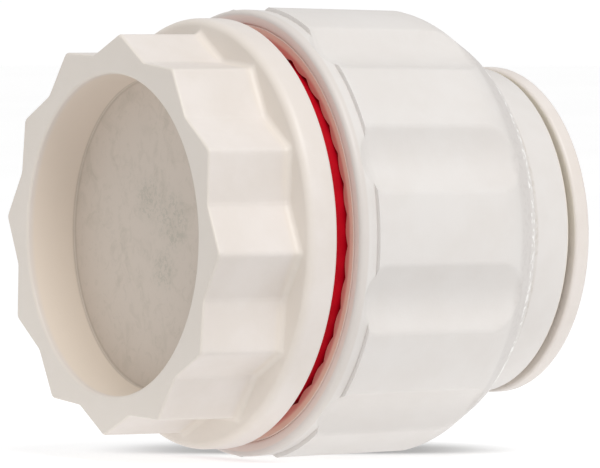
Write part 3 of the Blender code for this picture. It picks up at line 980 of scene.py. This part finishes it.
@dataclass
class Collet(Fitted):
    """The release collet: rounded flange, sleeve, slit fingers with heads, and its steel teeth."""

    steel: bpy.types.Material | None = None
    columns: int = 240
    bore: float = 14.45
    sleeve: float = 15.55
    head: float = 16.55
    tips: float = 35.05
    flange_front: float = 52.0
    flange_radius: float = 19.3
    flange_lean: float = 0.25
    lean_run: float = 1.5
    end: float = 54.15
    fingers: int = 12
    slit_width: float = 1.2
    slit_length: float = 12.0
    tooth_width: float = 2.4
    tooth_thickness: float = 0.4
    tooth_reach: float = 0.45
    tooth_depth: float = 1.25
    tooth_lean: float = math.radians(28)
    tooth_place: float = 1.75
    tooth_points: int = 4
    tooth_notch: float = 0.3
    tooth_edge: float = 0.03

    def slits(self) -> bpy.types.Object:
        """Makes the cutter of all the slits, rounded at their closed ends."""
        bm = bmesh.new()
        for finger in range(self.fingers):
            verts = bmesh.ops.create_cube(bm, size=1.0)["verts"]
            length = self.slit_length + 2
            bmesh.ops.scale(bm, vec=(length * MM, 6 * MM, self.slit_width * MM), verts=verts)
            middle = self.tips + self.slit_length - length / 2 + CLOSED_END
            bmesh.ops.translate(bm, vec=(middle * MM, -self.sleeve * MM, 0.0), verts=verts)
            ends = [
                edge for edge in {edge for vert in verts for edge in vert.link_edges}
                if all(vert.co.x > middle * MM for vert in edge.verts)
                and abs(edge.verts[0].co.y - edge.verts[1].co.y) > MM
            ]
            made = bmesh.ops.bevel(
                bm, geom=ends, offset=self.slit_width * 0.48 * MM, offset_type="OFFSET", segments=5,
                profile=0.5, affect="EDGES", material=-1,
            )
            every = {vert for vert in set(verts) | set(made["verts"]) if vert.is_valid}
            radial(bm, every, math.tau * (finger + 0.5) / self.fingers)
        bmesh.ops.recalc_face_normals(bm, faces=bm.faces[:])
        return solid("slit_cutter", bm)

    def tooth(self, number: int) -> bpy.types.Object:
        """Makes one tooth with a saw edge.

        Args:
            number: Which finger it sits in, from 0.

        Returns:
            The tooth's object.
        """
        bm = bmesh.new()
        low, high = self.bore - self.tooth_reach, self.bore + self.tooth_depth
        made = bmesh.ops.create_cube(bm, size=1.0)
        size = (self.tooth_thickness, high - low, self.tooth_width)
        bmesh.ops.scale(bm, vec=size, verts=made["verts"])
        across = [edge for edge in bm.edges if abs(edge.verts[0].co.z - edge.verts[1].co.z) > 1]
        cuts = 2 * self.tooth_points - 1
        bmesh.ops.subdivide_edges(bm, edges=across, cuts=cuts, use_grid_fill=True)
        pitch = self.tooth_width / self.tooth_points
        for vert in bm.verts:
            if vert.co.y > 0:
                saw = abs((vert.co.z / pitch + 0.5) % 1 - 0.5) * 2
                vert.co.y -= self.tooth_notch * saw
                vert.co.x *= 0.35 + 0.4 * saw
        sharp = [edge for edge in bm.edges if edge.calc_face_angle(0) > 1.2]
        bmesh.ops.bevel(
            bm, geom=sharp, offset=self.tooth_edge, offset_type="OFFSET", segments=2,
            profile=0.5, affect="EDGES", material=-1,
        )
        bmesh.ops.translate(bm, vec=(0.0, -(high - low) / 2, 0.0), verts=bm.verts[:])
        lean = Matrix.Rotation(self.tooth_lean, 3, "Z")
        bmesh.ops.rotate(bm, cent=(0, 0, 0), matrix=lean, verts=bm.verts[:])
        place = self.tips + self.tooth_place + (low - self.bore) * math.tan(self.tooth_lean)
        bmesh.ops.translate(bm, vec=(place + CLOSED_END, -low, 0.0), verts=bm.verts[:])
        bmesh.ops.scale(bm, vec=(MM, MM, MM), verts=bm.verts[:])
        radial(bm, bm.verts[:], math.tau * number / self.fingers)
        bmesh.ops.recalc_face_normals(bm, faces=bm.faces[:])
        return solid(f"steel_tooth_{number + 1:02d}", bm)

    def shape(self, along: float, radius: float, angle: float) -> tuple[float, float, float]:
        """Leans the flange a little, as it rests loose in the nose."""
        share = clamp((along - self.flange_front + self.lean_run) / self.lean_run)
        return along - self.flange_lean * math.sin(angle) * share, radius, angle

    def build(self) -> None:
        """Makes the collet and its teeth and fits them."""
        corners = [
            Corner(self.tips, self.bore, 0.15),
            Corner(self.tips, self.head, 0.3),
            Corner(self.tips + 1.7, self.head - 0.25, 0.4),
            Corner(self.tips + 6.1, self.sleeve, 0.8),
            Corner(self.flange_front, self.sleeve, 0.2),
            Corner(self.flange_front, self.flange_radius, 0.45),
            Corner(self.end, self.flange_radius, 0.75),
            Corner(self.end, self.bore, 0.85),
        ]
        piece = solid("release_collet", turned(corners, self.columns, True, self.shape, 3.0))
        cut_away(piece, self.slits())
        self.fit(piece, "collet")
        teeth = Fitted(self.place, "stainless_steel", self.steel)
        for number in range(self.fingers):
            teeth.fit(self.tooth(number), f"grab_tooth_{number + 1:02d}")


@dataclass
class PlainRing(Fitted):
    """A simple turned ring, such as the red indicator, the washer or the seal."""

    name: str = ""
    node: str = ""
    columns: int = 252
    corners: tuple[Corner, ...] = ()

    def build(self) -> None:
        """Makes the ring and fits it."""
        self.fit(solid(self.name, turned(self.corners, self.columns, True)), self.node)


@dataclass
class Studio:
    """Pale floor that glows, with painted shade in front of and under the fitting, soft light and the
    camera.
    """

    aim: tuple[float, float, float] = (-0.001025, 0.0, -0.000204)
    azimuth: float = -33.05
    elevation: float = 1.35
    distance: float = 1.0
    lens: float = 512.4
    floor_gap: float = 0.00005
    sky: float = 0.60
    horizon: float = 1.02
    glow: float = 0.69
    sky_from: float = 0.02
    sky_to: float = 0.12
    # Painted shade on the floor: a dimmer glow in front of the fitting and under it.
    front_shade_glow: Colour = shade(0.42, 0.42, 0.42)
    under_shadow_glow: Colour = shade(0.3, 0.3, 0.3)
    shadow_place: float = -0.018
    floor_radius: float = 12.0
    floor_dark: Colour = shade(0.42, 0.42, 0.42)
    floor_pale: Colour = shade(0.45, 0.45, 0.45)
    lamp_azimuth: float = -12.0
    lamp_elevation: float = 51.0
    lamp_distance: float = 1.2
    lamp_size: float = 0.7
    lamp_watts: float = 8.2

    def ray(self, azimuth: float, elevation: float) -> Vector:
        """The direction from the object towards a place, from its two angles in degrees."""
        side, up = math.radians(azimuth), math.radians(elevation)
        return Vector((math.sin(side) * math.cos(up), -math.cos(side) * math.cos(up), math.sin(up)))

    def stand(
        self, data: bpy.types.ID, azimuth: float, elevation: float, far: float, aim: Vector
    ) -> bpy.types.Object:
        """Stands a camera or lamp so that it points at a place.

        Args:
            data: The camera or lamp.
            azimuth: Its angle round the place, in degrees.
            elevation: Its angle over the floor, in degrees.
            far: Its distance from the place.
            aim: The place.

        Returns:
            The new object.
        """
        made = bpy.data.objects.new(data.name, data)
        bpy.context.scene.collection.objects.link(made)
        back = self.ray(azimuth, elevation)
        made.location = aim + back * far
        made.rotation_euler = (-back).to_track_quat("-Z", "Y").to_euler()
        return made

    def camera(self) -> None:
        """Makes the camera."""
        data = bpy.data.cameras.new("camera")
        data.lens = self.lens
        data.clip_start, data.clip_end = 0.01, 50.0
        bpy.context.scene.camera = self.stand(
            data, self.azimuth, self.elevation, self.distance, Vector(self.aim)
        )

    def lamp(self) -> None:
        """Makes the one soft area lamp."""
        data = bpy.data.lights.new("key", "AREA")
        data.shape = "DISK"
        data.size = self.lamp_size
        data.energy = self.lamp_watts
        self.stand(data, self.lamp_azimuth, self.lamp_elevation, self.lamp_distance, Vector())

    def world(self) -> None:
        """Makes the dome of soft light, brighter at the horizon."""
        world = bpy.data.worlds.new("studio")
        bpy.context.scene.world = world
        world.use_nodes = True
        tree = world.node_tree
        tree.nodes.clear()
        place = tree.nodes.new("ShaderNodeTexCoord")
        split = tree.nodes.new("ShaderNodeSeparateXYZ")
        ramp = tree.nodes.new("ShaderNodeMapRange")
        limits = (self.sky_from, self.sky_to, self.horizon, self.sky)
        for name, value in zip(("From Min", "From Max", "To Min", "To Max"), limits):
            ramp.inputs[name].default_value = value
        light = tree.nodes.new("ShaderNodeBackground")
        light.inputs["Color"].default_value = shade(1.0, 1.0, 1.0)
        out = tree.nodes.new("ShaderNodeOutputWorld")
        tree.links.new(place.outputs["Generated"], split.inputs[0])
        tree.links.new(split.outputs["Z"], ramp.inputs["Value"])
        tree.links.new(ramp.outputs[0], light.inputs["Strength"])
        tree.links.new(light.outputs[0], out.inputs["Surface"])

    def floor(self) -> None:
        """Makes the floor just under the lowest lobe."""
        bm = bmesh.new()
        bmesh.ops.create_circle(bm, cap_ends=True, segments=96, radius=self.floor_radius)
        lowest = CAD_BOX[0][2] - self.floor_gap
        bmesh.ops.translate(bm, vec=(0.0, 0.0, lowest), verts=bm.verts[:])
        floor = solid("floor", bm)
        paint = Paint("pale_floor")
        tone = paint.noise(3.0, 2.0).above(0.3, 0.4)
        colour = paint.blend(tone, self.floor_dark, self.floor_pale)
        forward = self.ray(self.azimuth, 0.0)
        front = paint.vector("DOT_PRODUCT", tuple(forward))
        # The floor glows so that it looks evenly white; a dimmer glow in front of the fitting is painted
        # shade on the floor, and it lights the fitting's underside less.
        glow = paint.blend(front.above(0.012, 0.065), shade(1.0, 1.0, 1.0), self.front_shade_glow)
        # A painted shadow: a patch of dim glow under and behind the fitting.
        middle = forward * self.shadow_place
        offset = paint.vector("DISTANCE", (middle.x, middle.y, lowest))
        under = offset.below(0.012, 0.016) * front.below(-0.012, 0.010)
        glow = paint.blend(under, glow, self.under_shadow_glow)
        finish = paint.done(
            Base_Color=colour, Roughness=0.9, Emission_Color=glow, Emission_Strength=self.glow
        )
        floor.data.materials.append(finish)

    def build(self) -> None:
        """Makes the whole studio."""
        self.world()
        self.floor()
        self.lamp()
        self.camera()
        bpy.context.scene.view_settings.view_transform = "Standard"


def box_section(
    along: tuple[float, float], radii: tuple[float, float], softs: Sequence[float]
) -> tuple[Corner, ...]:
    """The four corners of a plain ring's section.

    Args:
        along: Where the ring starts and ends, from the closed end.
        radii: Its least and greatest distance from the axis.
        softs: The rounding of each corner, in order.

    Returns:
        The corners in order.
    """
    (start, end), (inner, outer) = along, radii
    places = ((start, inner), (start, outer), (end, outer), (end, inner))
    return tuple(Corner(place, radius, soft) for (place, radius), soft in zip(places, softs))


def round_section(along: float, radius: float, half: float, sides: int = 28) -> tuple[Corner, ...]:
    """The corners of a round section.

    Args:
        along: Its middle, from the closed end.
        radius: Its middle's distance from the axis.
        half: Half its thickness.
        sides: How many sides make it.

    Returns:
        The corners in order.
    """
    turns = [math.tau * side / sides for side in range(sides)]
    return tuple(
        Corner(along + half * math.cos(turn), radius + half * math.sin(turn)) for turn in turns
    )


def rings(white: bpy.types.Material) -> list[PlainRing]:
    """The plain rings: red indicator, washer and seal.

    Args:
        white: The washer's material.

    Returns:
        The rings, ready to build.
    """
    return [
        PlainRing(
            Place.BODY, "red_indicator", IndicatorRed().material(), "red_ring", "indicator_ring",
            corners=box_section((15.25, 19.6), (20.35, 22.6), (0.0, 0.15, 0.35, 0.0)),
        ),
        PlainRing(
            Place.WASHER, "white_acetal", white, "seal_washer", "spacer_washer",
            corners=box_section((32.0, 33.9), (14.9, 17.65), (0.15, 0.2, 0.2, 0.15)),
        ),
        PlainRing(
            Place.BODY, "rubber_seal", SealRubber().material(), "pipe_seal", "o_ring",
            corners=round_section(27.7, 15.95, 1.75),
        ),
    ]


# Painted shade, darker and warmer, on the grip's end face round the cup's rim.
END_FACE_SHADE = Band(shade(0.735, 0.675, 0.605), (-0.5, 0.4), (18.4, 23.5), 0.3, 0.7)
# Painted warm bounce light, cream, on the flange's front face and the roots of the grip.
GRIP_ROOT_WARM_LIGHT = Band(shade(0.77, 0.70, 0.62), (9.6, 12.4), (20.8, 25.4), 0.9, 0.6)
# Painted shade on the rounded outer lip of the cap's mouth, which tones down its highlight.
MOUTH_LIP_SHADE = Band(shade(0.66, 0.61, 0.57), (17.3, 18.7), (24.9, 26.6), 0.35, 0.8)
# Painted light on the cap's end face, which the flange shades.
MOUTH_FACE_LIGHT = Band(shade(0.84, 0.74, 0.67), (16.5, 17.8), (22.5, 25.6), 0.3, 0.9)
# Painted shade, warmed by painted reflected red light, round the groove in the cap's end face.
MOUTH_GROOVE_SHADE_AND_REFLECTION = Band(shade(0.74, 0.60, 0.53), (16.5, 17.8), (22.5, 24.8), 0.3, 0.9)
# Painted peach reflection of the red ring on the inner part of the cap's end face.
MOUTH_RED_REFLECTION = Band(shade(0.90, 0.66, 0.54), (16.5, 17.8), (22.5, 24.4), 0.25)
# Painted red reflection of the red ring on the serrations inside the cap's mouth.
SERRATION_RED_REFLECTION = Band(shade(0.72, 0.26, 0.22), (16.5, 20.0), (22.0, 23.8), 0.5, 0.85)
# Painted shade, with darker spots, on the domed shoulder, which turns away from the lamp.
SHOULDER_SHADE = Band(shade(0.60, 0.565, 0.54), (39.9, 43.6), (22.4, 26.6), 1.1, 0.6, 0.25)
# Painted highlights: pale dashes at the foot of the shoulder, beside the beads.
BEAD_HIGHLIGHTS = Band(shade(0.92, 0.90, 0.88), (42.7, 43.9), (22.0, 24.2), 0.2, 0.0, 1.0)
NECK_SHADE = Band(shade(0.60, 0.555, 0.51), (44.6, 46.3), (19.5, 22.4), 0.35, 0.4, 0.45)
# Painted warm light on the nose's end face, in the gap before the collet.
NOSE_END_LIGHT = Band(shade(0.80, 0.745, 0.66), (50.7, 51.4), (15.0, 19.6), 0.25)
# Painted warm light on the collet's front face, in the same gap.
COLLET_GAP_LIGHT = Band(shade(0.80, 0.745, 0.66), (50.5, 52.1), (15.0, 19.1), 0.15)


def main() -> None:
    """Builds the fitting and its studio."""
    logging.basicConfig(level=logging.INFO)
    body_white = MouldedWhite(
        "body_white", cup=CupTint(6.35, 18.2), bands=(END_FACE_SHADE, GRIP_ROOT_WARM_LIGHT)
    ).material()
    cap_white = MouldedWhite(
        "cap_white", pale=shade(0.725, 0.695, 0.67), warm=shade(0.70, 0.665, 0.635),
        bands=(
            MOUTH_LIP_SHADE, MOUTH_FACE_LIGHT, MOUTH_GROOVE_SHADE_AND_REFLECTION, MOUTH_RED_REFLECTION, SERRATION_RED_REFLECTION,
            SHOULDER_SHADE, BEAD_HIGHLIGHTS, NECK_SHADE, NOSE_END_LIGHT,
        ),
    ).material()
    collet_white = MouldedWhite("collet_white", roughness=0.36, bands=(COLLET_GAP_LIGHT,)).material()
    EndBody(Place.BODY, "white_acetal", body_white).build()
    TwistCap(Place.CAP, "white_acetal", cap_white).build()
    Collet(Place.COLLET, "collet_acetal", collet_white, ToothSteel().material()).build()
    for ring in rings(cap_white):
        ring.build()
    Studio().build()


if __name__ == "__main__":
    main()
